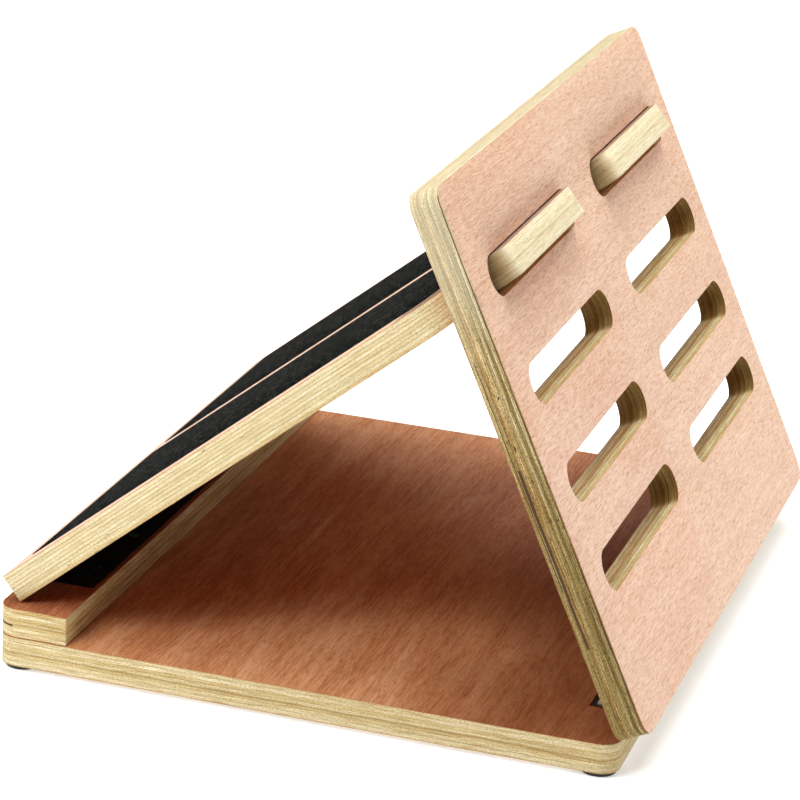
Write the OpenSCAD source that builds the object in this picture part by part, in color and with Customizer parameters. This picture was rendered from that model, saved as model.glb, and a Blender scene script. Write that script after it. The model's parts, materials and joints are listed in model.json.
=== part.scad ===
// Adjustable folding slant board: a base board, a hinge rail, an incline deck
// with two tongues, and a slotted back support that props the deck up.
// Millimetres, +Z up, standing on its feet at z = 0.

/* [Overall] */
// width of the base board and of the back support, along Y
board_w = 457; // [360:1:560]
// length of the base board, along X
base_l = 375; // [300:1:460]
// thickness of every plywood board
board_t = 18; // [12:0.5:24]
// corner radius of the base board and of the rail's outer corners
corner_r = 12; // [6:0.5:20]

/* [Hinge rail] */
// width of the strip that carries the deck's hinge, along X
rail_w = 44; // [36:0.5:60]
// distance from the base's left end to the deck's hinge line
rail_setback = 10.5; // [6:0.5:14]
// number of screws up through the base into the rail
rail_screw_n = 5; // [3:1:9]

/* [Back support] */
// angle between the back support and the base in the stored pose, degrees
support_angle = 64.5; // [58:0.5:72]
// gap left beside the rail when the support is folded flat
fold_gap = 3; // [2:0.5:8]
// corner radius of the back support
support_corner_r = 11; // [6:0.5:20]
// width left between a slot's end and the board's side edge
side_margin = 29.5; // [20:0.5:50]
// width left between the two columns of slots
mid_rib = 54; // [40:0.5:80]
// spare height in a slot above a tongue that rests in it
slot_play = 1.4; // [1:0.1:4]
// height of the first slot row's centre, as a share of the support's height
row_share_1 = 0.812; // [0.78:0.002:0.84]
// height of the second slot row's centre, as a share of the support's height
row_share_2 = 0.615; // [0.59:0.005:0.64]
// height of the third slot row's centre, as a share of the support's height
row_share_3 = 0.434; // [0.41:0.002:0.46]
// height of the fourth slot row's centre, as a share of the support's height
row_share_4 = 0.268; // [0.25:0.002:0.29]

/* [Deck] */
// distance from the base's side edge to the deck's side edge
deck_inset = 10; // [4:0.5:20]
// corner radius of the deck's shoulders
shoulder_r = 20; // [8:0.5:26]
// distance between the deck's shoulders and the support's inner face
shoulder_gap = 2; // [1:0.5:6]
// length of a tongue beyond the support's outer face
tongue_out = 13; // [8:0.5:20]
// corner radius of a tongue's free end
tongue_r = 9; // [6:0.5:20]
// width of a tongue past the straight part of its slot, at each side
tongue_side = 1.8; // [0:0.1:2.2]
// height of the tongue above the slot edge it rests on
rest_gap = 0.3; // [0.2:0.05:0.5]

/* [Grip tape] */
// thickness of a grip strip
grip_t = 0.5; // [0.4:0.1:1.5]
// bare wood between a grip strip and the deck's side edge
grip_margin = 17; // [8:0.5:30]
// bare wood between the two grip strips
grip_gap = 22; // [8:0.5:30]
// bare wood at the deck's low end
grip_low = 15; // [8:0.5:30]
// bare wood between a grip strip and the deck's shoulders
grip_high = 8; // [4:0.5:20]
// corner radius of a grip strip's high outer corner
grip_r = 22; // [6:0.5:26]

/* [Hinges] */
// distance from the board's side edge to the end of a hinge
hinge_inset = 48.5; // [40:0.5:70]
// width of the leaves at the deck's low end, from the hinge line
leaf_w = 30; // [24:0.5:34]
// width of the leaves at the support's foot
foot_leaf_w = 28; // [24:0.5:34]
// thickness of a hinge leaf
leaf_t = 1.2; // [1:0.1:2]
// outer radius of the rolled knuckles
knuckle_r = 2.6; // [2.4:0.1:3.5]
// number of knuckles along one hinge, shared by its two leaves
knuckle_n = 12; // [6:2:20]
// radius of the hinge pin
pin_r = 1.25; // [1:0.05:1.5]
// radial play between the pin and the knuckles
pin_play = 0.05; // [0.02:0.01:0.08]
// number of screws in one leaf
leaf_screw_n = 6; // [4:1:10]
// distance from the hinge line to the screws
leaf_screw_x = 20.5; // [16:0.5:24]

/* [Screws] */
// radius of a countersunk screw head
head_r = 3.4; // [3:0.1:4]
// height of a countersunk screw head
head_h = 2; // [1.6:0.1:2.6]
// radius of a screw shank
shank_r = 1.7; // [1.4:0.1:2]
// length of a hinge screw
screw_l = 13; // [10:0.5:15]
// length of a rail screw
rail_screw_l = 30; // [24:0.5:32]

/* [Feet] */
// height of a rubber foot
foot_h = 3; // [2:0.5:6]
// radius of a rubber foot
foot_r = 11; // [8:0.5:15]
// distance from the base's edges to a foot's centre
foot_inset = 12.5; // [12:0.5:30]
// radius of the screw recess in a foot
foot_recess_r = 4.4; // [4.2:0.1:5]
// depth of the screw recess in a foot
foot_recess_h = 1; // [0.8:0.1:1.4]

/* [Hidden] */
// smoothness of large and small round faces
round_fn = 48;
small_fn = 24;
// overrun of a cutter past the face it opens
over = 1;
// gaps between the pivot line and the boards, across and along the hinged faces
pivot_side_gap = 0.5;
pivot_face_gap = 0.25;
// clearance around a leaf in its pocket, and around a knuckle in its notch
pocket_gap = 0.3;
notch_gap = 0.5;
// gap between neighbouring knuckles, and around a screw in its hole
knuckle_gap = 0.4;
screw_gap = 0.1;
// size of the cross recess in a screw head
cross_l = 3.6;
cross_w = 0.8;
cross_h = 1;
// depth of a countersunk head below the face around it
head_sink = 0.1;

// heights of the flat faces
base_z = foot_h;
base_top = base_z + board_t;
rail_top = base_top + board_t;

// back support and its slots
support_l = base_l - rail_w - fold_gap;
slot_l = (board_w - 2 * side_margin - mid_rib) / 2;
slot_y = (mid_rib + slot_l) / 2;

// pivot lines of the support and of the deck, in X and Z from the base's left end
support_px = base_l + pivot_side_gap;
support_pz = base_top + pivot_face_gap;
deck_px = rail_setback;
deck_pz = rail_top + pivot_face_gap;

// tilt of the deck against the support's normal, from a first guess at the slot edge
row_1 = row_share_1 * support_l;
guess_u = row_1 - 0.68 * board_t;
guess_x = support_px - guess_u * cos(support_angle);
guess_z = support_pz + guess_u * sin(support_angle);
guess_tilt = support_angle + atan2(guess_z - deck_pz, guess_x - deck_px) - 90;

// slot height that just takes a tongue at that tilt
slot_h = board_t / cos(guess_tilt) + board_t * tan(abs(guess_tilt)) + slot_play;
row_2 = row_share_2 * support_l;
row_3 = row_share_3 * support_l;
row_4 = row_share_4 * support_l;
rows = [row_1, row_2, row_3, row_4];

// lower inner edge of the first slot row, which carries the deck
edge_u = pivot_side_gap + row_1 - slot_h / 2;
edge_x = support_px - edge_u * cos(support_angle) + pivot_face_gap * sin(support_angle);
edge_z = support_pz + edge_u * sin(support_angle) + pivot_face_gap * cos(support_angle);
reach = norm([edge_x - deck_px, edge_z - deck_pz]);
reach_angle = atan2(edge_z - deck_pz, edge_x - deck_px);
lean = asin((pivot_face_gap - rest_gap) / reach);
deck_angle = reach_angle - lean;
tilt = support_angle + deck_angle - 90;

// deck lengths from its low end
deck_w = board_w - 2 * deck_inset;
contact_u = reach * cos(lean) - pivot_side_gap;
shoulder_u = contact_u - shoulder_gap;
deck_l = contact_u + board_t / cos(tilt) + tongue_out;
straight_w = slot_l - slot_h;
tongue_w = straight_w + 2 * tongue_side;
tongue_root = 40;

// grip strips on the deck
grip_w = (deck_w - 2 * grip_margin - grip_gap) / 2;
grip_l = shoulder_u - grip_high - grip_low;

// hinge lengths
hinge_l = board_w - 2 * hinge_inset;
knuckle_l = hinge_l / knuckle_n;
leaf_screw_pitch = hinge_l / leaf_screw_n;

// shift that puts the middle of the whole object's length at x = 0
low_x = deck_px + pivot_side_gap * cos(deck_angle)
    - (pivot_face_gap + board_t) * sin(deck_angle);
high_x = support_px - pivot_side_gap * cos(support_angle)
    + (pivot_face_gap + board_t) * sin(support_angle);
shift_x = -(low_x + high_x) / 2;

// ---- shared shapes ----

// shaft along Y, centred on the origin
module y_rod(r, l, fn) {
    rotate([90, 0, 0])
        cylinder(h = l, r = r, center = true, $fn = fn);
}

// plate from x = 0 to l, centred in Y, z = 0 to t, with chosen corner radii at each end
module board(l, w, t, r_low, r_high) {
    translate([r_low, -w / 2, 0])
        cube([l - r_low - r_high, w, t]);
    if (r_low > 0) board_end(r_low, w, t, r_low);
    if (r_high > 0)
        translate([l, 0, 0])
            mirror([1, 0, 0])
                board_end(r_high, w, t, r_high);
}

// rounded end strip of a board, its outer edge at x = 0
module board_end(l, w, t, r) {
    translate([0, -w / 2 + r, 0])
        cube([l, w - 2 * r, t]);
    for (side = [-1, 1])
        translate([r, side * (w / 2 - r), 0])
            cylinder(h = t, r = r, $fn = round_fn);
}

// countersunk screw, its head flush at z = 0 and its shank towards +Z
module screw(l) {
    difference() {
        screw_body(l, 0);
        for (turn = [0, 90])
            rotate([0, 0, turn])
                translate([-cross_l / 2, -cross_w / 2, -over])
                    cube([cross_l, cross_w, over + head_sink + cross_h]);
    }
}

module screw_body(l, gap) {
    translate([0, 0, head_sink - gap])
        cylinder(h = head_h, r1 = head_r + gap, r2 = shank_r + gap, $fn = small_fn);
    translate([0, 0, head_sink + head_h / 2])
        cylinder(h = l - head_h / 2 + gap, r = shank_r + gap, $fn = small_fn);
}

// hole for that screw, open at z = 0
module screw_hole(l) {
    screw_body(l, screw_gap);
    translate([0, 0, -over])
        cylinder(h = over + head_sink, r = head_r + screw_gap, $fn = small_fn);
}

// screw positions of one leaf, local z pointing into its board
module at_leaf_screws() {
    for (i = [0 : leaf_screw_n - 1])
        translate([leaf_screw_x, (i - (leaf_screw_n - 1) / 2) * leaf_screw_pitch, pivot_face_gap])
            children();
}

// knuckle spans along the pin that belong to one leaf
module at_knuckles(first) {
    for (i = [first : 2 : knuckle_n - 1])
        translate([0, (i - (knuckle_n - 1) / 2) * knuckle_l, 0])
            children();
}

// one leaf around its pin at the origin, plate towards +X, board side towards +Z
module leaf(first, width) {
    difference() {
        union() {
            translate([0, -hinge_l / 2, pivot_face_gap])
                cube([width, hinge_l, leaf_t]);
            at_knuckles(first)
                y_rod(knuckle_r, knuckle_l - knuckle_gap, round_fn);
        }
        y_rod(pin_r + pin_play, hinge_l + 2 * over, round_fn);
        at_knuckles(1 - first)
            y_rod(knuckle_r + knuckle_gap, knuckle_l + knuckle_gap, round_fn);
        at_leaf_screws()
            screw_hole(screw_l);
    }
}

// pocket, knuckle notch and screw holes that a leaf needs in its board
module leaf_cut(width) {
    translate([-over, -hinge_l / 2 - pocket_gap, pivot_face_gap - over])
        cube([width + pocket_gap + over, hinge_l + 2 * pocket_gap, leaf_t + over]);
    y_rod(knuckle_r + notch_gap, hinge_l + 2 * pocket_gap, round_fn);
    at_leaf_screws()
        screw_hole(screw_l);
}

// ---- local frames ----

// X and Z of the whole object, moved so that its length is centred
module at_origin() {
    translate([shift_x, 0, 0])
        children();
}

// around the deck's pin, x up the slope, z out of the deck's top
module at_deck() {
    at_origin()
        translate([deck_px, 0, deck_pz])
            rotate([0, -deck_angle, 0])
                children();
}

// around the deck's pin, x to the right, z down into the rail
module at_rail_leaf() {
    at_origin()
        translate([deck_px, 0, deck_pz])
            mirror([0, 0, 1])
                children();
}

// around the support's pin, x up the board, z out of its outer face
module at_support() {
    at_origin()
        translate([support_px, 0, support_pz])
            rotate([0, 180 + support_angle, 0])
                mirror([0, 0, 1])
                    children();
}

// around the support's pin, x to the left, z down into the base
module at_base_leaf() {
    at_origin()
        translate([support_px, 0, support_pz])
            rotate([0, 180, 0])
                children();
}

// rail screw positions, local z pointing up from the base's underside
module at_rail_screws() {
    for (i = [0 : rail_screw_n - 1])
        translate([rail_w / 2, (i - (rail_screw_n - 1) / 2) * board_w / rail_screw_n, base_z])
            children();
}

// a foot's centre on the base's underside
module at_foot(right, rear) {
    at_origin()
        translate([
            right * (base_l - 2 * foot_inset) + foot_inset,
            (2 * rear - 1) * (board_w / 2 - foot_inset),
            0
        ])
            children();
}

// ---- fixed stand ----

module base_board() {
    color([0.72, 0.45, 0.33])
        difference() {
            at_origin()
                translate([0, 0, base_z])
                    board(base_l, board_w, board_t, corner_r, corner_r);
            at_base_leaf()
                leaf_cut(foot_leaf_w);
            at_origin()
                at_rail_screws()
                    screw_hole(rail_screw_l);
            for (right = [0, 1], rear = [0, 1])
                at_foot(right, rear)
                    translate([0, 0, foot_recess_h])
                        screw_hole(screw_l);
        }
}

module hinge_rail() {
    color([0.76, 0.48, 0.36])
        difference() {
            at_origin()
                translate([0, 0, base_top])
                    board(rail_w, board_w, board_t, corner_r, 0);
            at_rail_leaf()
                leaf_cut(leaf_w);
            at_origin()
                at_rail_screws()
                    screw_hole(rail_screw_l);
        }
}

module rail_screws() {
    color([0.7, 0.68, 0.62])
        at_origin()
            at_rail_screws()
                screw(rail_screw_l);
}

module foot(right, rear) {
    color([0.06, 0.06, 0.06])
        at_foot(right, rear)
            difference() {
                cylinder(h = foot_h, r1 = foot_r - foot_h / 4, r2 = foot_r, $fn = round_fn);
                translate([0, 0, -over])
                    cylinder(h = over + foot_recess_h, r = foot_recess_r, $fn = small_fn);
                translate([0, 0, foot_recess_h])
                    screw_hole(screw_l);
            }
}

module foot_screws() {
    color([0.7, 0.68, 0.62])
        for (right = [0, 1], rear = [0, 1])
            at_foot(right, rear)
                translate([0, 0, foot_recess_h])
                    screw(screw_l);
}

// ---- hinge between the rail and the deck ----

module rail_hinge_lower_leaf() {
    color([0.1, 0.1, 0.1])
        at_rail_leaf()
            leaf(0, leaf_w);
}

module rail_hinge_lower_screws() {
    color([0.55, 0.55, 0.55])
        at_rail_leaf()
            at_leaf_screws()
                screw(screw_l);
}

module rail_hinge_pin() {
    color([0.5, 0.5, 0.5])
        at_rail_leaf()
            y_rod(pin_r, hinge_l, round_fn);
}

module rail_hinge_upper_leaf() {
    color([0.1, 0.1, 0.1])
        at_deck()
            leaf(1, leaf_w);
}

module rail_hinge_upper_screws() {
    color([0.55, 0.55, 0.55])
        at_deck()
            at_leaf_screws()
                screw(screw_l);
}

// ---- incline deck ----

module deck_board() {
    color([0.86, 0.7, 0.5])
        at_deck()
            difference() {
                translate([pivot_side_gap, 0, pivot_face_gap]) {
                    board(shoulder_u, deck_w, board_t, 0, shoulder_r);
                    for (side = [-1, 1])
                        translate([shoulder_u - tongue_root, side * slot_y, 0])
                            board(deck_l - shoulder_u + tongue_root, tongue_w, board_t, 0, tongue_r);
                }
                leaf_cut(leaf_w);
            }
}

module grip_strip(side) {
    color([0.07, 0.07, 0.08])
        at_deck()
            translate([
                pivot_side_gap + grip_low,
                side * (grip_gap + grip_w) / 2,
                pivot_face_gap + board_t
            ])
                difference() {
                    translate([0, -grip_w / 2, 0])
                        cube([grip_l, grip_w, grip_t]);
                    translate([grip_l - grip_r, side * (grip_w / 2 - grip_r), 0])
                        grip_corner(side);
                }
}

// waste outside a strip's rounded high corner
module grip_corner(side) {
    difference() {
        translate([0, side > 0 ? 0 : -grip_r - over, -over])
            cube([grip_r + over, grip_r + over, grip_t + 2 * over]);
        translate([0, 0, -2 * over])
            cylinder(h = grip_t + 4 * over, r = grip_r, $fn = round_fn);
    }
}

module grip_strip_front() {
    grip_strip(-1);
}

module grip_strip_rear() {
    grip_strip(1);
}

// ---- hinge between the base and the support ----

module base_hinge_lower_leaf() {
    color([0.6, 0.6, 0.6])
        at_base_leaf()
            leaf(0, foot_leaf_w);
}

module base_hinge_lower_screws() {
    color([0.6, 0.6, 0.6])
        at_base_leaf()
            at_leaf_screws()
                screw(screw_l);
}

module base_hinge_pin() {
    color([0.55, 0.55, 0.55])
        at_base_leaf()
            y_rod(pin_r, hinge_l, round_fn);
}

module base_hinge_upper_leaf() {
    color([0.6, 0.6, 0.6])
        at_support()
            leaf(1, foot_leaf_w);
}

module base_hinge_upper_screws() {
    color([0.6, 0.6, 0.6])
        at_support()
            at_leaf_screws()
                screw(screw_l);
}

// ---- back support ----

// round-ended slot through the support, centred on the origin
module slot() {
    translate([-slot_h / 2, -straight_w / 2, -over])
        cube([slot_h, straight_w, board_t + 2 * over]);
    for (side = [-1, 1])
        translate([0, side * straight_w / 2, -over])
            cylinder(h = board_t + 2 * over, r = slot_h / 2, $fn = round_fn);
}

module back_support() {
    color([0.85, 0.62, 0.52])
        at_support()
            difference() {
                translate([pivot_side_gap, 0, pivot_face_gap])
                    board(support_l, board_w, board_t, support_corner_r, support_corner_r);
                for (row = rows, side = [-1, 1])
                    translate([pivot_side_gap + row, side * slot_y, pivot_face_gap])
                        slot();
                leaf_cut(foot_leaf_w);
            }
}

base_board();
hinge_rail();
rail_screws();
foot(0, 0);  // foot_front_left
foot(1, 0);  // foot_front_right
foot(0, 1);  // foot_rear_left
foot(1, 1);  // foot_rear_right
foot_screws();
rail_hinge_lower_leaf();
rail_hinge_lower_screws();
rail_hinge_pin();
rail_hinge_upper_leaf();
rail_hinge_upper_screws();
deck_board();
grip_strip_front();
grip_strip_rear();
base_hinge_lower_leaf();
base_hinge_lower_screws();
base_hinge_pin();
base_hinge_upper_leaf();
base_hinge_upper_screws();
back_support();
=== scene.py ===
import json
import math

import bmesh
import bpy
from mathutils import Matrix, Vector


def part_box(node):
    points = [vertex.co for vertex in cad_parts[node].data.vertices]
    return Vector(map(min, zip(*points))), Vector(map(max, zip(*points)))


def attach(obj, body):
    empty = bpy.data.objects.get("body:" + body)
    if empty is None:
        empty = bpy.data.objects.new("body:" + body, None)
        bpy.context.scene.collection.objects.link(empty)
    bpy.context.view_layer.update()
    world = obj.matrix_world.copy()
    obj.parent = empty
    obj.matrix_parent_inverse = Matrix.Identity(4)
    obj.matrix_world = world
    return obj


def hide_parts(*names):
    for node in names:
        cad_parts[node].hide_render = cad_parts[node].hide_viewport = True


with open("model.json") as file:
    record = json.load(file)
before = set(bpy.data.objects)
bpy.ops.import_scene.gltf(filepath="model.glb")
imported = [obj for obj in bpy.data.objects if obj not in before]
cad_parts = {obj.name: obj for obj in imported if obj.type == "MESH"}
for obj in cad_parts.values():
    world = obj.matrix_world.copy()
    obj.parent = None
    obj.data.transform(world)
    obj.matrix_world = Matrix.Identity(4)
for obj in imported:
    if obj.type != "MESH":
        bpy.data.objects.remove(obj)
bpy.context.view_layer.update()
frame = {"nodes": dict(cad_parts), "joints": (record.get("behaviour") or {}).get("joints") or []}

mm = 0.001
boardThick = 18 * mm
slotMiddle = 113 * mm  # from the boards' centre line to the middle of a slot or tongue


# places of the two hinged boards

joints = {joint["name"]: joint for joint in frame["joints"]}
supportPivot = Vector(joints["support_swing"]["pos_m"])
deckPivot = Vector(joints["deck_tilt"]["pos_m"])
slope = {
    "support": math.radians(64.5), "deck": math.radians(39.67), "sideGap": 0.5 * mm, "faceGap": 0.25 * mm
}

up = Vector((0, 0, 1))


def boardFrame(origin, along, outward):
    # x up the board, y across it, z out of its face
    across = outward.cross(along)
    rows = Matrix((along, across, outward)).transposed().to_4x4()
    return Matrix.Translation(origin) @ rows


supportAlong = Vector((-math.cos(slope["support"]), 0, math.sin(slope["support"])))
supportOut = Vector((math.sin(slope["support"]), 0, math.cos(slope["support"])))
supportFrame = boardFrame(
    supportPivot + supportAlong * slope["sideGap"] + supportOut * slope["faceGap"], supportAlong, -supportOut
)
deckAlong = Vector((math.cos(slope["deck"]), 0, math.sin(slope["deck"])))
deckUp = Vector((-math.sin(slope["deck"]), 0, math.cos(slope["deck"])))
deckFrame = boardFrame(
    deckPivot + deckAlong * slope["sideGap"] + deckUp * slope["faceGap"], deckAlong, deckUp
)
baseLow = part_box("base_board")[0]
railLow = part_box("hinge_rail")[0]
baseFrame = Matrix.Translation(Vector((baseLow.x, 0, baseLow.z)))
railFrame = Matrix.Translation(Vector((railLow.x, 0, railLow.z)))


# small helpers for materials

def newMaterial(name):
    material = bpy.data.materials.new(name)
    material.use_nodes = True
    tree = material.node_tree
    shader = tree.nodes["Principled BSDF"]
    return material, tree, shader


def addNode(tree, kind, settings=None, **inputs):
    node = tree.nodes.new(kind)
    for key, value in (settings or {}).items():
        setattr(node, key, value)
    for key, value in inputs.items():
        socket = node.inputs[key.replace("_", " ")]
        if isinstance(value, bpy.types.NodeSocket):
            tree.links.new(value, socket)
        else:
            socket.default_value = value
    return node


def math2(tree, operation, first, second=0.0):
    node = tree.nodes.new("ShaderNodeMath")
    node.operation = operation
    for socket, value in zip(node.inputs, (first, second)):
        if isinstance(value, bpy.types.NodeSocket):
            tree.links.new(value, socket)
        else:
            socket.default_value = value
    return node.outputs[0]


def smooth(tree, value, low, high):
    node = addNode(tree, "ShaderNodeMapRange", {"interpolation_type": "SMOOTHSTEP"}, Value=value)
    node.inputs["From Min"].default_value = low
    node.inputs["From Max"].default_value = high
    return node.outputs["Result"]


def mixColour(tree, amount, first, second, blend="MIX"):
    node = tree.nodes.new("ShaderNodeMix")
    node.data_type = "RGBA"
    node.blend_type = blend
    for index, value in ((0, amount), (6, first), (7, second)):
        socket = node.inputs[index]
        if isinstance(value, bpy.types.NodeSocket):
            tree.links.new(value, socket)
        elif index == 0:
            socket.default_value = value
        else:
            socket.default_value = (*value, 1)
    return node.outputs[2]


def ramp(tree, value, stops):
    node = addNode(tree, "ShaderNodeValToRGB", Fac=value)
    band = node.color_ramp
    band.elements[0].position, band.elements[0].color = stops[0][0], (*stops[0][1], 1)
    band.elements[1].position, band.elements[1].color = stops[-1][0], (*stops[-1][1], 1)
    for place, colour in stops[1:-1]:
        band.elements.new(place).color = (*colour, 1)
    return node.outputs["Color"]


def boardCoords(tree, place):
    # object coordinates turned into the board's own x, y, z
    coords = tree.nodes.new("ShaderNodeTexCoord")
    back = place.inverted()
    mapping = addNode(tree, "ShaderNodeMapping", Vector=coords.outputs["Object"])
    mapping.inputs["Rotation"].default_value = back.to_euler("XYZ")
    mapping.inputs["Location"].default_value = back.to_translation()
    return mapping.outputs[0]


def stretched(tree, vector, scale, offset=(0, 0, 0)):
    mapping = addNode(tree, "ShaderNodeMapping", Vector=vector)
    mapping.inputs["Scale"].default_value = scale
    mapping.inputs["Location"].default_value = offset
    return mapping.outputs[0]


def noise(tree, vector, detail=3.0, rough=0.55, distort=0.0):
    node = addNode(tree, "ShaderNodeTexNoise", Vector=vector, Scale=1.0, Detail=detail, Roughness=rough)
    node.inputs["Distortion"].default_value = distort
    return node.outputs["Fac"]


def between(tree, value, low, high, soft):
    # 1 from low to high, fading out over the soft width at both ends
    rise = smooth(tree, value, low - soft, low)
    fall = smooth(tree, value, high, high + soft)
    return math2(tree, "MULTIPLY", rise, math2(tree, "SUBTRACT", 1.0, fall))


def product(tree, *values):
    result = values[0]
    for value in values[1:]:
        result = math2(tree, "MULTIPLY", result, value)
    return result


# veneer faces, with the grain across the board

def veneerMaterial(name, place, look):
    material, tree, shader = newMaterial(name)
    coords = boardCoords(tree, place)
    seed = look["seed"]
    split = addNode(tree, "ShaderNodeSeparateXYZ", Vector=coords)
    cloud = noise(tree, stretched(tree, coords, (11, 6, 11), (seed, seed, 0)), 2.0, 0.5)
    ribbon = noise(tree, stretched(tree, coords, (75, 7, 75), (seed * 2, 0, 0)), 4.0, 0.6, 0.4)
    grain = noise(tree, stretched(tree, coords, (640, 20, 640), (seed, 0, 0)), 4.0, 0.7, 0.3)
    fibre = noise(tree, stretched(tree, coords, (1700, 90, 1700), (0, seed, 0)), 3.0, 0.6)
    shimmer = noise(tree, stretched(tree, coords, (70, 14, 70), (seed, 1, 0)), 3.0, 0.65, 0.4)
    pore = noise(tree, stretched(tree, coords, (2100, 130, 2100), (seed, 3, 0)), 2.0, 0.5, 0.15)
    poreMask = smooth(tree, pore, look["poreEdge"], look["poreEdge"] + 0.1)
    wavySide = math2(tree, "ADD", split.outputs["Y"], product(tree, cloud, 20 * mm))
    blush = smooth(tree, wavySide, look["seam"] - 2 * mm, look["seam"] + 2 * mm)

    colour = ramp(tree, ribbon, [(0.3, look["dark"]), (0.5, look["middle"]), (0.7, look["light"])])
    cloudMask = product(tree, smooth(tree, cloud, 0.36, 0.66), look["cloud"])
    colour = mixColour(tree, cloudMask, colour, look["tint"])
    colour = mixColour(tree, product(tree, blush, look["blush"]), colour, look["blushColour"])
    grainMask = product(tree, smooth(tree, grain, 0.38, 0.64), look["grain"])
    colour = mixColour(tree, grainMask, colour, look["grainColour"], "MULTIPLY")
    fibreMask = product(tree, smooth(tree, fibre, 0.4, 0.66), look["fibre"])
    colour = mixColour(tree, fibreMask, colour, look["fibreColour"])
    shimmerMask = product(tree, smooth(tree, shimmer, 0.46, 0.66), look["shimmer"])
    colour = mixColour(tree, shimmerMask, colour, look["light"])
    poreAmount = product(tree, poreMask, look["pore"])
    colour = mixColour(tree, poreAmount, colour, look["poreColour"])
    # painted shade: the colour darkens towards one end of the board
    if "paintedShadeAt" in look:
        wavyEnd = math2(tree, "ADD", split.outputs["X"], product(tree, cloud, 70 * mm))
        paintedShadeMask = smooth(tree, wavyEnd, *look["paintedShadeAt"])
        colour = mixColour(tree, paintedShadeMask, colour, look["paintedShadeColour"], "MULTIPLY")
    seamLine = between(
        tree, split.outputs["Y"], look["seam"] - 0.3 * mm, look["seam"] + 0.3 * mm, 0.5 * mm
    )
    colour = mixColour(tree, product(tree, seamLine, look["seamMix"]), colour, look["light"])
    tree.links.new(colour, shader.inputs["Base Color"])

    gloss = addNode(tree, "ShaderNodeMapRange", Value=ribbon)
    gloss.inputs["To Min"].default_value = look["rough"] - 0.05
    gloss.inputs["To Max"].default_value = look["rough"] + 0.08
    tree.links.new(gloss.outputs[0], shader.inputs["Roughness"])
    shader.inputs["Specular IOR Level"].default_value = look["shine"]
    height = math2(tree, "SUBTRACT", product(tree, fibre, 0.25), poreAmount)
    height = math2(tree, "ADD", height, product(tree, grain, 0.3))
    bump = addNode(tree, "ShaderNodeBump", Height=height, Strength=look["bump"], Distance=0.15 * mm)
    tree.links.new(bump.outputs[0], shader.inputs["Normal"])
    return material


# ply edges: layers of different tones seen from the side

def layerRamp(tree, depth, layers):
    # layers as (thickness in mm, colour), from the outer face inwards
    blur = 0.07
    total, start, stops = sum(layer[0] for layer in layers), 0, []
    for thick, colour in layers:
        stops.append(((start + blur) / total, colour))
        start += thick
        stops.append(((start - blur) / total, colour))
    stops[0], stops[-1] = (0, stops[0][1]), (1, stops[-1][1])
    return ramp(tree, math2(tree, "DIVIDE", depth, boardThick), stops)


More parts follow.
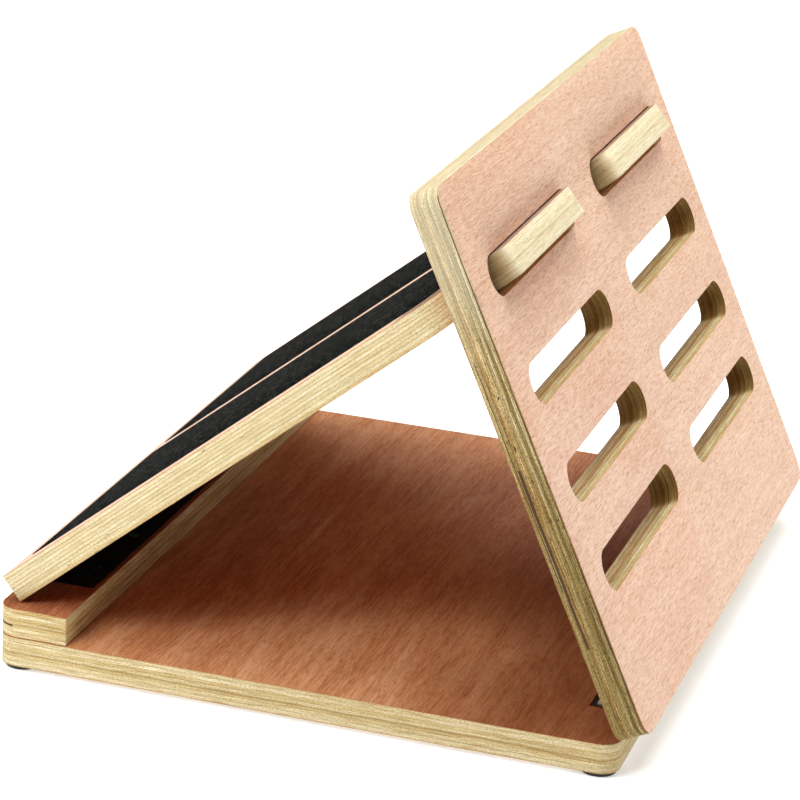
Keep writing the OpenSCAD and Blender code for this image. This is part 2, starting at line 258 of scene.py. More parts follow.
def plyMaterial(name, place, look):
    material, tree, shader = newMaterial(name)
    coords = boardCoords(tree, place)
    seed = look["seed"]
    split = addNode(tree, "ShaderNodeSeparateXYZ", Vector=coords)
    depth = math2(tree, "ADD", product(tree, split.outputs["Z"], look["sign"]), look["zero"])
    wave = noise(tree, stretched(tree, coords, (11, 11, 40), (seed, 0, 0)), 2.0, 0.5)
    ripple = noise(tree, stretched(tree, coords, (55, 55, 220), (0, seed, 0)), 2.0, 0.5)
    shift = product(tree, math2(tree, "SUBTRACT", wave, 0.5), look["wave"])
    wobble = math2(tree, "SUBTRACT", ripple, 0.5)
    shift = math2(tree, "ADD", shift, product(tree, wobble, look["ripple"]))
    # the outermost layers stay straight
    straight = 2.5 * mm
    inside = between(tree, depth, straight, boardThick - straight, 2.2 * mm)
    bent = math2(tree, "ADD", depth, product(tree, shift, inside))

    streak = noise(tree, stretched(tree, coords, (22, 22, 900), (0, seed, 0)), 4.0, 0.65, 0.2)
    hair = noise(tree, stretched(tree, coords, (80, 80, 2900), (seed, 0, 0)), 3.0, 0.6)
    speck = noise(tree, stretched(tree, coords, (700, 700, 1500), (seed, 0, 0)), 2.0, 0.7)
    blotch = noise(tree, stretched(tree, coords, (26, 26, 130), (0, 0, seed)), 3.0, 0.6)

    colour = layerRamp(tree, bent, look["layers"])
    marks = (
        ("streak", streak, 0.44, 0.62), ("hair", hair, 0.42, 0.6),
        ("speck", speck, 0.46, 0.6), ("blotch", blotch, 0.5, 0.7)
    )
    for mark, pattern, low, high in marks:
        amount = product(tree, smooth(tree, pattern, low, high), look[mark])
        colour = mixColour(tree, amount, colour, look[mark + "Colour"], "MULTIPLY")

    # a knotty streak in the middle of the stack
    band = between(tree, bent, look["knotAt"] - 0.5 * mm, look["knotAt"] + 0.5 * mm, 0.5 * mm)
    broken = noise(tree, stretched(tree, coords, (35, 35, 500), (seed, seed, 1)), 4.0, 0.7, 0.5)
    knot = product(tree, band, smooth(tree, broken, 0.5, 0.62))
    colour = mixColour(tree, product(tree, knot, look["knot"]), colour, look["knotColour"])
    pit = noise(tree, stretched(tree, coords, (240, 240, 900), (seed, 0, seed)), 1.0, 0.4)
    pitMask = smooth(tree, pit, look["pitEdge"], look["pitEdge"] + 0.04)
    pitMask = product(tree, pitMask, smooth(tree, blotch, 0.42, 0.58))
    colour = mixColour(tree, pitMask, colour, look["pitColour"])

    # a darker, browner end near the foot and a paler end near the top
    if look.get("darkerLow"):
        upBoard = math2(tree, "ADD", split.outputs["X"], product(tree, streak, 60 * mm))
        low = product(tree, smooth(tree, upBoard, *look["darkerLowAt"]), look["darkerLow"])
        colour = mixColour(tree, low, colour, look["darkerLowColour"], "MULTIPLY")
        high = product(tree, smooth(tree, split.outputs["X"], *look["palerHighAt"]), look["palerHigh"])
        colour = mixColour(tree, high, colour, look["palerHighColour"])

    # painted shade: darker brown at the round ends of the slots and tongues
    if "paintedEndShade" in look:
        side = math2(tree, "ABSOLUTE", split.outputs["Y"])
        across = math2(tree, "ABSOLUTE", math2(tree, "SUBTRACT", side, slotMiddle))
        across = math2(tree, "ADD", across, product(tree, streak, 4 * mm))
        endShadeMask = product(tree, smooth(tree, across, *look["paintedEndShadeAt"]), look["paintedEndShade"])
        colour = mixColour(tree, endShadeMask, colour, look["paintedEndShadeColour"], "MULTIPLY")

    # open gaps between layers, in mm: depth, along from and to, across from and to, half height
    gaps = pitMask
    for at, start, end, near, far, half in look["gaps"]:
        wander = product(tree, wobble, 1.2 * mm)
        line = between(tree, math2(tree, "ADD", depth, wander), (at - half) * mm, (at + half) * mm, 0.15 * mm)
        reach = product(
            tree, between(tree, split.outputs["X"], start * mm, end * mm, 6 * mm),
            between(tree, split.outputs["Y"], near * mm, far * mm, 3 * mm)
        )
        torn = math2(tree, "ADD", product(tree, streak, 0.5), product(tree, reach, 0.6))
        torn = smooth(tree, torn, 0.72, 0.8)
        gap = product(tree, line, torn)
        gaps = math2(tree, "MAXIMUM", gaps, gap)
        colour = mixColour(tree, gap, colour, look["pitColour"])
    tree.links.new(colour, shader.inputs["Base Color"])

    shader.inputs["Roughness"].default_value = look["rough"]
    shader.inputs["Specular IOR Level"].default_value = 0.2
    height = math2(tree, "ADD", product(tree, hair, 0.4), product(tree, streak, 0.4))
    height = math2(tree, "SUBTRACT", height, product(tree, gaps, 1.5))
    bump = addNode(tree, "ShaderNodeBump", Height=height, Strength=look["bump"], Distance=0.25 * mm)
    tree.links.new(bump.outputs[0], shader.inputs["Normal"])
    return material


pinkVeneer = {
    "seed": 3.1, "dark": (0.69, 0.405, 0.265), "middle": (0.77, 0.49, 0.335), "light": (0.84, 0.59, 0.43),
    "tint": (0.78, 0.46, 0.305), "cloud": 0.55, "grain": 0.6, "grainColour": (0.84, 0.70, 0.60),
    "fibre": 0.5, "fibreColour": (0.90, 0.70, 0.54), "shimmer": 0.35, "pore": 0.7,
    "poreEdge": 0.53, "poreColour": (0.50, 0.24, 0.145), "rough": 0.52, "shine": 0.35, "bump": 0.35,
    "seam": -13.5 * mm, "seamMix": 0.4, "blush": 0.5, "blushColour": (0.79, 0.545, 0.385)
}
redVeneer = {
    "seed": 8.4, "dark": (0.46, 0.15, 0.055), "middle": (0.60, 0.225, 0.092), "light": (0.74, 0.36, 0.19),
    "tint": (0.52, 0.165, 0.06), "cloud": 0.6, "grain": 0.7, "grainColour": (0.70, 0.50, 0.38),
    "fibre": 0.35, "fibreColour": (0.72, 0.36, 0.19), "shimmer": 0.3, "pore": 0.55,
    "poreEdge": 0.54, "poreColour": (0.26, 0.08, 0.03), "rough": 0.55, "shine": 0.25, "bump": 0.4,
    "seam": 45 * mm, "seamMix": 0.0, "blush": 0.2, "blushColour": (0.62, 0.26, 0.12)
}
paleVeneer = {
    **pinkVeneer, "seed": 5.7, "dark": (0.66, 0.40, 0.27), "middle": (0.74, 0.49, 0.35),
    "light": (0.80, 0.58, 0.43), "tint": (0.72, 0.45, 0.32), "seam": 60 * mm
}
cream, ivory, butter = (0.76, 0.67, 0.42), (0.82, 0.74, 0.51), (0.69, 0.57, 0.30)
tan, orangeTan, olive = (0.53, 0.41, 0.20), (0.62, 0.40, 0.18), (0.38, 0.31, 0.14)
rind, darkLine, freshWood = (0.62, 0.40, 0.22), (0.20, 0.11, 0.04), (0.90, 0.84, 0.64)
plyLook = {
    "seed": 2.3, "sign": -1.0, "zero": boardThick, "wave": 1.6 * mm, "ripple": 0.5 * mm,
    "layers": [
        (0.35, rind), (2.2, cream), (0.3, tan), (2.0, ivory), (0.25, butter), (1.9, butter),
        (0.3, tan), (1.7, cream), (1.2, tan), (1.9, butter), (0.25, ivory), (2.0, cream),
        (0.3, tan), (2.2, ivory), (0.6, butter), (0.35, rind)
    ],
    "streak": 0.75, "streakColour": (0.82, 0.76, 0.64), "hair": 0.8, "hairColour": (0.68, 0.58, 0.42),
    "speck": 0.6, "speckColour": (0.62, 0.52, 0.38), "blotch": 0.45, "blotchColour": (0.88, 0.76, 0.55),
    "knotAt": 9.5 * mm, "knot": 0.75, "knotColour": (0.36, 0.22, 0.08),
    "pitEdge": 0.765, "pitColour": (0.07, 0.035, 0.015), "rough": 0.62, "bump": 0.5, "gaps": []
}
supportPly = {
    **plyLook, "seed": 5.5, "sign": 1.0, "wave": 1.2 * mm, "ripple": 0.5 * mm,
    "layers": [
        (0.5, rind), (0.3, darkLine), (1.5, butter), (0.4, ivory), (1.5, olive), (0.9, tan),
        (0.6, ivory), (1.5, tan), (0.3, olive), (1.6, butter), (0.4, ivory), (1.5, orangeTan),
        (0.5, olive), (1.9, tan), (1.6, butter), (0.6, rind)
    ],
    "streak": 0.95, "streakColour": (0.66, 0.54, 0.30), "hair": 0.85, "hairColour": (0.56, 0.50, 0.34),
    "speck": 0.9, "speckColour": (0.50, 0.44, 0.30), "pitEdge": 0.665,
    "darkerLow": 1.0, "darkerLowAt": (265 * mm, 90 * mm), "darkerLowColour": (0.62, 0.59, 0.45),
    "palerHigh": 0.3, "palerHighAt": (215 * mm, 300 * mm), "palerHighColour": freshWood,
    "gaps": [
        (13.8, 60, 165, -232, -215, 0.7), (1.1, 20, 322, -232, -215, 0.2), (15.6, 95, 230, -232, -215, 0.2)
    ]
}
slotPly = {
    **supportPly, "seed": 6.6, "streak": 0.8, "streakColour": (0.66, 0.55, 0.32), "hair": 0.7,
    "hairColour": (0.66, 0.56, 0.36), "speck": 0.45, "pitEdge": 0.75, "gaps": [], "paintedEndShade": 0.9, "darkerLow": 0.0,
    # painted shade on the slots' round end walls
    "paintedEndShadeAt": (73 * mm, 82 * mm), "paintedEndShadeColour": (0.36, 0.24, 0.07),
    "layers": [
        (0.6, rind), (2.2, butter), (0.4, tan), (2.6, ivory), (0.5, olive), (2.4, cream), (0.4, tan),
        (2.4, orangeTan), (0.5, ivory), (2.3, cream), (0.4, olive), (2.5, ivory), (0.6, rind)
    ]
}
tonguePly = {
    **plyLook, "seed": 3.7, "knot": 0.25, "streak": 0.4, "hair": 0.5, "speck": 0.35, "blotch": 0.2,
    # painted shade on the tongues' round sides
    "wave": 0.5 * mm, "paintedEndShade": 1.0, "paintedEndShadeAt": (69 * mm, 82 * mm), "paintedEndShadeColour": (0.40, 0.25, 0.08),
    "layers": [
        (thick, tuple(0.45 * tone + 0.55 * pale for tone, pale in zip(colour, freshWood)))
        for thick, colour in plyLook["layers"]
    ]
}

woods = {
    "base": (
        veneerMaterial("baseVeneer", baseFrame, {
            **redVeneer, "dark": (0.40, 0.16, 0.06), "middle": (0.52, 0.245, 0.10),
            "light": (0.68, 0.39, 0.21), "tint": (0.45, 0.175, 0.065), "grain": 0.85, "fibre": 0.5,
            # partly painted shade under the support and partly a browner tone of the veneer, darkening the
            # base towards its right end
            "shimmer": 0.35, "paintedShadeAt": (240 * mm, 370 * mm), "paintedShadeColour": (0.52, 0.40, 0.33)
        }),
        plyMaterial("basePly", baseFrame, {**plyLook, "seed": 4.6}),
        # near-black veneer for the hinge pocket's walls and floor: painted shade in the recess
        veneerMaterial("pocketPaintedShade", baseFrame, {
            **redVeneer, "seed": 6.3, "dark": (0.06, 0.03, 0.015), "middle": (0.09, 0.045, 0.02),
            "light": (0.13, 0.07, 0.03), "tint": (0.05, 0.025, 0.01), "fibre": 0.0, "blush": 0.0
        }),
        veneerMaterial("baseUnderside", baseFrame, {
            **paleVeneer, "seed": 9.9, "dark": (0.58, 0.52, 0.42), "middle": (0.66, 0.60, 0.50),
            "light": (0.74, 0.69, 0.59), "tint": (0.62, 0.56, 0.46), "blush": 0.0,
            "fibreColour": (0.74, 0.68, 0.58)
        })
    ),
    "rail": (
        # the red veneer made much darker for the rail: painted shade under the deck
        veneerMaterial("railVeneerPaintedShade", railFrame, {
            **redVeneer, "seed": 1.9, "dark": (0.19, 0.045, 0.012), "middle": (0.26, 0.07, 0.022),
            "light": (0.34, 0.11, 0.042), "tint": (0.28, 0.08, 0.025)
        }),
        plyMaterial("railPly", railFrame, {
            **plyLook, "seed": 7.2, "streak": 0.9, "streakColour": (0.74, 0.58, 0.30),
            "gaps": [(10.5, -2, 9, -232, -208, 0.5)]
        })
    ),
    "deck": (
        veneerMaterial("deckVeneer", deckFrame, {
            # painted shade on the tongues' top faces, past the shoulder
            **paleVeneer, "paintedShadeAt": (322 * mm, 333 * mm), "paintedShadeColour": (0.40, 0.36, 0.33)
        }),
        plyMaterial("deckPly", deckFrame, {
            **plyLook, "seed": 9.3, "knot": 0.1, "wave": 0.5 * mm, "ripple": 0.2 * mm, "streak": 0.4,
            "blotch": 0.2, "hair": 0.6, "layers": [
                (0.4, rind), (1.3, ivory), (0.3, tan), (1.2, cream), (0.3, tan), (1.3, ivory),
                (0.3, orangeTan), (1.3, cream), (0.3, tan), (1.3, ivory), (0.3, tan), (1.3, cream),
                (0.3, tan), (1.4, ivory), (1.2, butter), (0.4, rind)
            ]
        }),
        veneerMaterial("deckUnderside", deckFrame, {**redVeneer, "seed": 2.7}),
        plyMaterial("tonguePly", deckFrame, tonguePly)
    ),
    "support": (
        veneerMaterial("supportVeneer", supportFrame, pinkVeneer),
        plyMaterial("supportPly", supportFrame, supportPly),
        plyMaterial("slotPly", supportFrame, slotPly)
    )
}
print("wood materials made")


# grip tape, metals and rubber

def gripMaterial():
    look = {"grit": 620, "base": (0.0012, 0.0014, 0.001), "speck": (0.07, 0.075, 0.065), "rough": 1.0}
    material, tree, shader = newMaterial("gripGrit")
    coords = tree.nodes.new("ShaderNodeTexCoord").outputs["Object"]
    cells = addNode(tree, "ShaderNodeTexVoronoi", Vector=coords, Scale=look["grit"])
    chance = addNode(
        tree, "ShaderNodeTexWhiteNoise", {"noise_dimensions": "3D"}, Vector=cells.outputs["Position"]
    )
    patch = noise(tree, stretched(tree, coords, (25, 25, 25)), 3.0, 0.6)
    bright = smooth(tree, chance.outputs["Value"], 0.7, 1.05)
    bright = product(tree, bright, math2(tree, "ADD", product(tree, patch, 0.6), 0.5))
    colour = mixColour(tree, bright, look["base"], look["speck"])
    tree.links.new(colour, shader.inputs["Base Color"])
    shader.inputs["Roughness"].default_value = look["rough"]
    shader.inputs["Specular IOR Level"].default_value = 0.02
    height = math2(tree, "SUBTRACT", 1.0, math2(tree, "MULTIPLY", cells.outputs["Distance"], 1.6))
    height = math2(tree, "MULTIPLY", height, chance.outputs["Value"])
    bump = addNode(tree, "ShaderNodeBump", Height=height, Strength=0.6, Distance=0.3 * mm)
    tree.links.new(bump.outputs[0], shader.inputs["Normal"])
    return material


def metalMaterial(name, colour, rough, worn, metallic=1.0):
    material, tree, shader = newMaterial(name)
    coords = tree.nodes.new("ShaderNodeTexCoord").outputs["Object"]
    brushed = noise(tree, stretched(tree, coords, (2600, 60, 2600)), 2.0, 0.5)
    smudge = noise(tree, stretched(tree, coords, (60, 60, 60)), 4.0, 0.6)
    tone = mixColour(tree, math2(tree, "MULTIPLY", smooth(tree, smudge, 0.45, 0.75), 0.5), colour, worn)
    tone = mixColour(tree, product(tree, brushed, 0.25), tone, worn)
    tree.links.new(tone, shader.inputs["Base Color"])
    shader.inputs["Metallic"].default_value = metallic
    shine = math2(tree, "ADD", math2(tree, "MULTIPLY", smudge, 0.25), rough - 0.12)
    tree.links.new(shine, shader.inputs["Roughness"])
    bump = addNode(tree, "ShaderNodeBump", Height=brushed, Strength=0.15, Distance=0.05 * mm)
    tree.links.new(bump.outputs[0], shader.inputs["Normal"])
    return material


def leafMaterial(name, low, high):
    # bright brushed steel for a leaf between two corners, with painted shadow along its rim and streaks
    # partly brushing and partly painted reflection
    look = {
        "shadowRim": 2.6 * mm, "dark": (0.012, 0.011, 0.010),
        "pale": (0.62, 0.62, 0.59), "paintedDarkReflection": (0.04, 0.04, 0.038)
    }
    material, tree, shader = newMaterial(name)
    coords = tree.nodes.new("ShaderNodeTexCoord").outputs["Object"]
    split = addNode(tree, "ShaderNodeSeparateXYZ", Vector=coords)
    streak = noise(tree, stretched(tree, coords, (90, 1100, 90)), 3.0, 0.7, 0.5)
    fromFoot = math2(tree, "SUBTRACT", split.outputs["X"], low[0])
    fromEnd = math2(tree, "SUBTRACT", high[1], math2(tree, "ABSOLUTE", split.outputs["Y"]))
    fromShadowRim = math2(tree, "MINIMUM", fromFoot, fromEnd)
    # painted shadow where the leaf meets the walls of its pocket
    inner = smooth(tree, fromShadowRim, look["shadowRim"] - 0.5 * mm, look["shadowRim"] + 0.5 * mm)
    # pale and near-black streaks along the brushing: painted reflection
    shine = mixColour(tree, smooth(tree, streak, 0.42, 0.6), look["paintedDarkReflection"], look["pale"])
    tree.links.new(mixColour(tree, inner, look["dark"], shine), shader.inputs["Base Color"])
    shader.inputs["Metallic"].default_value = 0.3
    shader.inputs["Roughness"].default_value = 0.4
    bump = addNode(tree, "ShaderNodeBump", Height=streak, Strength=0.2, Distance=0.05 * mm)
    tree.links.new(bump.outputs[0], shader.inputs["Normal"])
    return material


def rubberMaterial():
    material, tree, shader = newMaterial("footRubber")
    coords = tree.nodes.new("ShaderNodeTexCoord").outputs["Object"]
    grain = noise(tree, stretched(tree, coords, (900, 900, 900)), 3.0, 0.6)
    dust = noise(tree, stretched(tree, coords, (90, 90, 90)), 4.0, 0.6)
    dusty = product(tree, smooth(tree, dust, 0.5, 0.75), 0.5)
    colour = mixColour(tree, dusty, (0.012, 0.012, 0.012), (0.05, 0.047, 0.043))
    tree.links.new(colour, shader.inputs["Base Color"])
    shader.inputs["Roughness"].default_value = 0.7
    bump = addNode(tree, "ShaderNodeBump", Height=grain, Strength=0.4, Distance=0.1 * mm)
    tree.links.new(bump.outputs[0], shader.inputs["Normal"])
    return material


gripGrit = gripMaterial()
darkSteel = metalMaterial("darkHinge", (0.012, 0.012, 0.013), 0.45, (0.05, 0.05, 0.05), 0.6)
plainSteel = metalMaterial("steelHinge", (0.66, 0.66, 0.64), 0.4, (0.42, 0.42, 0.40), 0.85)
footLeafSteel = leafMaterial("footLeafSteel", *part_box("base_hinge_lower_leaf"))
zincSteel = metalMaterial("screwZinc", (0.55, 0.54, 0.50), 0.32, (0.33, 0.31, 0.27))
footRubber = rubberMaterial()
print("other materials made")


# modelling helpers

faceOn = 0.97  # how closely a side has to face outwards to count as one of the board's flat faces


def clearSelection():
    if bpy.context.object and bpy.context.object.mode != "OBJECT":
        bpy.ops.object.mode_set(mode="OBJECT")
    bpy.ops.object.select_all(action="DESELECT")


def selectOnly(piece):
    clearSelection()
    piece.select_set(True)
    bpy.context.view_layer.objects.active = piece


def startBox(name, low, high):
    clearSelection()
    size = Vector(high) - Vector(low)
    bpy.ops.mesh.primitive_cube_add(size=1, location=(Vector(low) + Vector(high)) / 2, scale=size)
    piece = bpy.context.object
    piece.name = name
    bpy.ops.object.transform_apply(location=True, rotation=True, scale=True)
    return piece


def pickEdges(piece, test):
    # edit mode with only the edges that pass the test selected
    bpy.ops.object.mode_set(mode="EDIT")
    bpy.ops.mesh.select_mode(type="EDGE")
    bpy.ops.mesh.select_all(action="DESELECT")
    mesh = bmesh.from_edit_mesh(piece.data)
    for edge in mesh.edges:
        edge.select = test(edge.verts[0].co, edge.verts[1].co)
    mesh.select_flush_mode()
    bmesh.update_edit_mesh(piece.data)


def roundEdges(piece, radius, steps, test):
    pickEdges(piece, test)
    bpy.ops.mesh.bevel(offset=radius, segments=steps, profile=0.5, affect="EDGES")
    bpy.ops.object.mode_set(mode="OBJECT")


def upright(first, second):
    return abs(first.x - second.x) < 1e-6 and abs(first.y - second.y) < 1e-6


def useModifier(piece, kind, **values):
    selectOnly(piece)
    modifier = piece.modifiers.new(kind.title(), kind)
    for key, value in values.items():
        setattr(modifier, key, value)
    bpy.ops.object.modifier_apply(modifier=modifier.name)


def carve(piece, cutter, operation="DIFFERENCE"):
    useModifier(piece, "BOOLEAN", object=cutter, operation=operation, solver="EXACT")
    bpy.data.objects.remove(cutter)


def easeEdges(piece, radius, steps=3):
    useModifier(
        piece, "BEVEL", width=radius, segments=steps, limit_method="ANGLE",
        angle_limit=math.radians(35), miter_outer="MITER_ARC", harden_normals=False
    )


def placePiece(piece, place):
    selectOnly(piece)
    piece.matrix_world = place @ piece.matrix_world
    bpy.ops.object.transform_apply(location=True, rotation=True, scale=True)
    bpy.ops.object.shade_smooth_by_angle(angle=math.radians(30))


def paintBoard(piece, materials, outward, choose=None):
    # veneer on the two flat faces, ply everywhere else, and another finish where choose names one
    piece.data.materials.clear()
    for material in materials:
        piece.data.materials.append(material)
    for side in piece.data.polygons:
        plain = 0 if abs(side.normal.dot(outward)) > faceOn else 1
        side.material_index = choose(side) or plain if choose else plain


def leafPocket(name, length, leafEnd, depth, top):
    # cutter for a hinge leaf let into a face, with a groove for its knuckle
    size = {"past": 2 * mm, "grooveRadius": 3.1 * mm, "grooveAt": -0.5 * mm, "grooveSink": 0.25 * mm}
    past = size["past"]
    low, high = (top - depth, top + past) if top > 0 else (top - past, top + depth)
    pocket = startBox(name, (-past, -length / 2, low), (leafEnd, length / 2, high))
    grooveHeight = top + math.copysign(size["grooveSink"], top - 1e-9)
    clearSelection()
    bpy.ops.mesh.primitive_cylinder_add(
        vertices=40, radius=size["grooveRadius"], depth=length,
        location=(size["grooveAt"], 0, grooveHeight), rotation=(math.radians(90), 0, 0)
    )
    groove = bpy.context.object
    bpy.ops.object.transform_apply(location=True, rotation=True, scale=True)
    carve(pocket, groove, "UNION")
    return pocket


boardSize = {
    "width": 457 * mm, "length": 375 * mm, "thick": boardThick, "corner": 12 * mm, "cornerSteps": 10,
    "ease": 0.9 * mm, "leafLength": 360.6 * mm, "leafReach": 29.8 * mm, "footLeafReach": 28.4 * mm,
    "leafDepth": 1.2 * mm
}


def mirrored(piece, centre):
    # turns a cutter made at the board's left end round to its right end
    selectOnly(piece)
    piece.matrix_world = Matrix.Translation((centre, 0, 0)) @ Matrix.Rotation(math.pi, 4, "Z")
    bpy.ops.object.transform_apply(location=True, rotation=True, scale=True)


# base board

def makeBase():
    size = {**boardSize, "flush": 0.01 * mm, "skin": 0.1 * mm, "sideSkin": 0.2 * mm, "endSkin": 1.5 * mm}
    half = size["width"] / 2
    piece = startBox("baseBoard", (0, -half, 0), (size["length"], half, size["thick"]))
    roundEdges(piece, size["corner"], size["cornerSteps"], upright)
    pocket = leafPocket(
        "baseLeafPocket", size["leafLength"], size["footLeafReach"], size["leafDepth"], size["thick"]
    )
    mirrored(pocket, size["length"])
    carve(piece, pocket)
    easeEdges(piece, size["ease"])
    placePiece(piece, baseFrame)
    pocketStart = size["length"] - size["footLeafReach"] - size["sideSkin"]
    pocketHalf = size["leafLength"] / 2 + size["sideSkin"]
    pocketFloor = size["thick"] - size["leafDepth"]
    back = baseFrame.inverted()

    def finish(side):
        spot = back @ side.center
        if spot.z < size["flush"]:
            return 3
        # faces inside the hinge pocket take the near-black finish, painted shade in the recess
        sunk = pocketFloor - size["skin"] < spot.z < size["thick"] - size["skin"]
        within = pocketStart < spot.x < size["length"] - size["endSkin"] and abs(spot.y) < pocketHalf
        return 2 if sunk and within else None

    paintBoard(piece, woods["base"], up, finish)
    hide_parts("base_board")
    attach(piece, "stand")
    print("base board made")


# rail under the deck's low end

def makeRail():
    size = {
        **boardSize, "railWidth": 44 * mm, "setback": 10.5 * mm, "underRound": 1.4 * mm,
        "railEase": 0.35 * mm
    }
    half = size["width"] / 2
    piece = startBox("hingeRail", (0, -half, 0), (size["railWidth"], half, size["thick"]))
    roundEdges(piece, size["corner"], size["cornerSteps"], lambda a, b: upright(a, b) and a.x < 1 * mm)
    pocket = leafPocket(
        "railLeafPocket", size["leafLength"], size["leafReach"], size["leafDepth"], size["thick"]
    )
    pocket.location.x = size["setback"] + slope["sideGap"]
    placePiece(pocket, Matrix.Identity(4))
    carve(piece, pocket)
    inside = size["railWidth"] - 1 * mm
    roundEdges(
        piece, size["underRound"], 3,
        lambda a, b: a.z < 1e-5 and b.z < 1e-5 and not (a.x > inside and b.x > inside)
    )
    easeEdges(piece, size["railEase"], 2)
    placePiece(piece, railFrame)
    paintBoard(piece, woods["rail"], up)
    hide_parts("hinge_rail")
    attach(piece, "stand")
    print("hinge rail made")


# incline deck with its two tongues

def makeDeck():
    size = {
        **boardSize, "deckWidth": 437 * mm, "shoulder": 329.53 * mm, "full": 363.1 * mm,
        "shoulderRound": 20 * mm, "tongueWidth": 151.16 * mm, "tongueRound": 9 * mm, "tongueRoot": 40 * mm,
        "deckEase": 0.7 * mm
    }
    half = size["deckWidth"] / 2
    piece = startBox("inclineDeck", (0, -half, 0), (size["shoulder"], half, size["thick"]))
    roundEdges(piece, size["shoulderRound"], 14, lambda a, b: upright(a, b) and a.x > size["shoulder"] / 2)
    for side in (-1, 1):
        middle = side * slotMiddle
        tongue = startBox(
            "tongueBlank", (size["shoulder"] - size["tongueRoot"], middle - size["tongueWidth"] / 2, 0),
            (size["full"], middle + size["tongueWidth"] / 2, size["thick"])
        )
        roundEdges(
            tongue, size["tongueRound"], 10, lambda a, b: upright(a, b) and a.x > size["full"] - 1 * mm
        )
        carve(piece, tongue, "UNION")
    pocket = leafPocket("deckLeafPocket", size["leafLength"], size["leafReach"], size["leafDepth"], 0)
    carve(piece, pocket)
    easeEdges(piece, size["deckEase"])
    placePiece(piece, deckFrame)
    back = deckFrame.inverted()

    def finish(side):
        if side.normal.dot(deckUp) < -faceOn:
            return 2
        onTongue = (back @ side.center).x > size["shoulder"] + 1 * mm and abs(side.normal.dot(deckUp)) < 0.9
        return 3 if onTongue else None

    paintBoard(piece, woods["deck"], deckUp, finish)
    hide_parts("deck_board")
    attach(piece, "deck")
    print("deck made")


# slotted back support

def makeSupport():
    size = {
        **boardSize, "tall": 328 * mm, "supportCorner": 11 * mm, "slotHigh": 24.47 * mm,
        "slotStraight": 147.53 * mm, "rows": (266.34 * mm, 201.72 * mm, 142.35 * mm, 87.9 * mm),
        "fieldHalf": 208 * mm, "fieldLow": 60 * mm, "fieldHigh": 290 * mm, "past": 2 * mm
    }
    thick = size["thick"]
    piece = startBox("backSupport", (0, -size["width"] / 2, -thick), (size["tall"], size["width"] / 2, 0))
    roundEdges(piece, size["supportCorner"], size["cornerSteps"], upright)
    for row in size["rows"]:
        for side in (-1, 1):
            middle = side * slotMiddle
            reach = (size["slotStraight"] + size["slotHigh"]) / 2
            cutter = startBox(
                "slotCutter", (row - size["slotHigh"] / 2, middle - reach, -thick - size["past"]),
                (row + size["slotHigh"] / 2, middle + reach, size["past"])
            )
            roundEdges(cutter, size["slotHigh"] / 2 - 0.01 * mm, 12, upright)
            carve(piece, cutter)
    pocket = leafPocket("supportLeafPocket", size["leafLength"], size["footLeafReach"], size["leafDepth"], 0)
    selectOnly(pocket)
    pocket.scale.z = -1
    bpy.ops.object.transform_apply(location=True, rotation=True, scale=True)
    bpy.ops.object.mode_set(mode="EDIT")
    bpy.ops.mesh.select_all(action="SELECT")
    bpy.ops.mesh.normals_make_consistent(inside=False)
    bpy.ops.object.mode_set(mode="OBJECT")
    carve(piece, pocket)
    easeEdges(piece, size["ease"])
    placePiece(piece, supportFrame)
    back = supportFrame.inverted()

    def finish(side):
        spot = back @ side.center
        inSlots = abs(spot.y) < size["fieldHalf"] and size["fieldLow"] < spot.x < size["fieldHigh"]
        return 2 if inSlots and abs(side.normal.dot(supportOut)) < 0.8 else None

    paintBoard(piece, woods["support"], supportOut, finish)
    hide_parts("back_support")
    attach(piece, "support")
    print("back support made")


# grip strips

def makeGrip(name, side, node):
    size = {
        "start": 15 * mm, "end": 321.53 * mm, "inner": 11 * mm, "outer": 201.5 * mm, "thick": 0.5 * mm,
        "round": 22 * mm, "ease": 0.25 * mm
    }
    low, high = sorted((side * size["inner"], side * size["outer"]))
    piece = startBox(
        name, (size["start"], low, boardThick), (size["end"], high, boardThick + size["thick"])
    )
    roundEdges(
        piece, size["round"], 8,
        lambda a, b: upright(a, b) and a.x > size["end"] - 1 * mm and abs(a.y) > size["outer"] - 1 * mm
    )
    easeEdges(piece, size["ease"], 2)
    placePiece(piece, deckFrame)
    piece.data.materials.append(gripGrit)
    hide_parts(node)
    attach(piece, "deck")


# rubber feet

def makeFoot(name, node):
    size = {"ease": 0.3 * mm, "recess": 4.4 * mm, "recessDeep": 1 * mm, "taper": 0.75 * mm}
    low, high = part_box(node)
    middle = (low + high) / 2
    radius = (high.x - low.x) / 2
    clearSelection()
    bpy.ops.mesh.primitive_cone_add(
        vertices=48, radius1=radius - size["taper"], radius2=radius, depth=high.z - low.z, location=middle
    )
    piece = bpy.context.object
    piece.name = name
    bpy.ops.object.transform_apply(location=True, rotation=True, scale=True)
    bpy.ops.object.mode_set(mode="EDIT")
    bpy.ops.mesh.select_mode(type="FACE")
    bpy.ops.mesh.select_all(action="DESELECT")
    mesh = bmesh.from_edit_mesh(piece.data)
    for side in mesh.faces:
        side.select = side.normal.z < -0.9
    bmesh.update_edit_mesh(piece.data)
    bpy.ops.mesh.inset(thickness=radius - size["taper"] - size["recess"])
    bpy.ops.mesh.extrude_region_move(TRANSFORM_OT_translate={"value": (0, 0, size["recessDeep"])})
    bpy.ops.object.mode_set(mode="OBJECT")
    easeEdges(piece, size["ease"], 2)
    placePiece(piece, Matrix.Identity(4))
    piece.data.materials.append(footRubber)
    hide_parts(node)
    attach(piece, "stand")


makeBase()
makeRail()
makeDeck()
makeSupport()
makeGrip("gripFront", -1, "grip_strip_front")
makeGrip("gripRear", 1, "grip_strip_rear")
print("grip strips made")
for corner in ("front_left", "front_right", "rear_left", "rear_right"):
    makeFoot("foot" + corner.title().replace("_", ""), "foot_" + corner)
print("feet made")


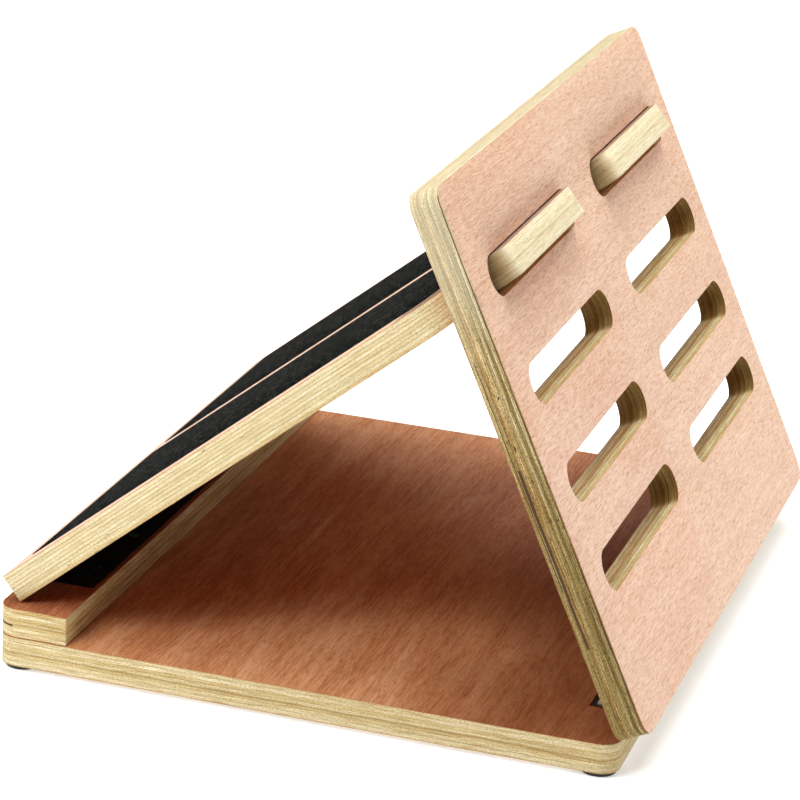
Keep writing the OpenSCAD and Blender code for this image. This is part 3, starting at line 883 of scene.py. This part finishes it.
# the metal nodes keep their shape and get their finish

for nodeName, finish in {
    "rail_screws": zincSteel, "foot_screws": zincSteel,
    "rail_hinge_lower_screws": zincSteel, "rail_hinge_upper_screws": zincSteel,
    "base_hinge_lower_screws": zincSteel, "base_hinge_upper_screws": zincSteel,
    "rail_hinge_lower_leaf": darkSteel, "rail_hinge_upper_leaf": darkSteel, "rail_hinge_pin": darkSteel,
    "base_hinge_lower_leaf": footLeafSteel, "base_hinge_upper_leaf": plainSteel, "base_hinge_pin": plainSteel
}.items():
    part = frame["nodes"][nodeName]
    part.data.materials.clear()
    part.data.materials.append(finish)
print("metal finished")


# floor, light and camera

def makeStage():
    look = {"floor": (0.94, 0.94, 0.94), "floorSize": 12, "glow": 0.4, "world": 0.02}
    clearSelection()
    bpy.ops.mesh.primitive_plane_add(size=look["floorSize"], location=(0, 0, 0))
    floor = bpy.context.object
    floor.name = "floor"
    material, tree, shader = newMaterial("floorPaint")
    shader.inputs["Base Color"].default_value = (*look["floor"], 1)
    shader.inputs["Roughness"].default_value = 0.8
    shader.inputs["Emission Color"].default_value = (1, 1, 1, 1)
    shader.inputs["Emission Strength"].default_value = look["glow"]
    floor.data.materials.append(material)
    world = bpy.data.worlds.new("studio")
    bpy.context.scene.world = world
    world.use_nodes = True
    world.node_tree.nodes["Background"].inputs["Color"].default_value = (1, 1, 1, 1)
    world.node_tree.nodes["Background"].inputs["Strength"].default_value = look["world"]
    bpy.context.scene.view_settings.view_transform = "Standard"


def addSoftbox(name, spot, target, size, power):
    lamp = bpy.data.lights.new(name, "AREA")
    lamp.shape = "RECTANGLE"
    lamp.size, lamp.size_y = size
    lamp.energy = power
    holder = bpy.data.objects.new(name, lamp)
    holder.location = spot
    holder.rotation_mode = "QUATERNION"
    holder.rotation_quaternion = (Vector(target) - Vector(spot)).to_track_quat("-Z", "Y")
    bpy.context.scene.collection.objects.link(holder)


def makeCamera():
    view = {
        "spot": (511.483, -1820.674, 782.978), "yaw": 0.2865, "pitch": -0.3356, "roll": 0.0581,
        "lens": 144.62, "sensor": 36
    }
    yaw, pitch, roll = view["yaw"], view["pitch"], view["roll"]
    ahead = Vector((-math.sin(yaw) * math.cos(pitch), math.cos(yaw) * math.cos(pitch), math.sin(pitch)))
    right = Vector((math.cos(yaw), math.sin(yaw), 0))
    above = right.cross(ahead)
    across = right * math.cos(roll) + above * math.sin(roll)
    above = above * math.cos(roll) - right * math.sin(roll)
    camera = bpy.data.cameras.new("camera")
    camera.lens, camera.sensor_width = view["lens"], view["sensor"]
    camera.clip_start, camera.clip_end = 0.05, 50
    holder = bpy.data.objects.new("camera", camera)
    holder.matrix_world = Matrix.Translation(Vector(view["spot"]) * mm) @ Matrix(
        (across, above, -ahead)
    ).transposed().to_4x4()
    bpy.context.scene.collection.objects.link(holder)
    bpy.context.scene.camera = holder


makeStage()
addSoftbox("rightLight", (1.9, 0.9, 1.3), (0, 0, 0.12), (1.2, 1.2), 16)
addSoftbox("topLight", (0.0, 0.1, 2.3), (0, 0, 0.1), (1.9, 1.9), 60)
addSoftbox("frontLight", (-0.6, -1.1, 1.15), (-0.1, -0.1, 0.05), (0.7, 0.6), 17)
addSoftbox("backLight", (-0.1, 1.15, 1.35), (0, 0.25, 0.02), (0.9, 0.6), 10)
makeCamera()
print("stage made")
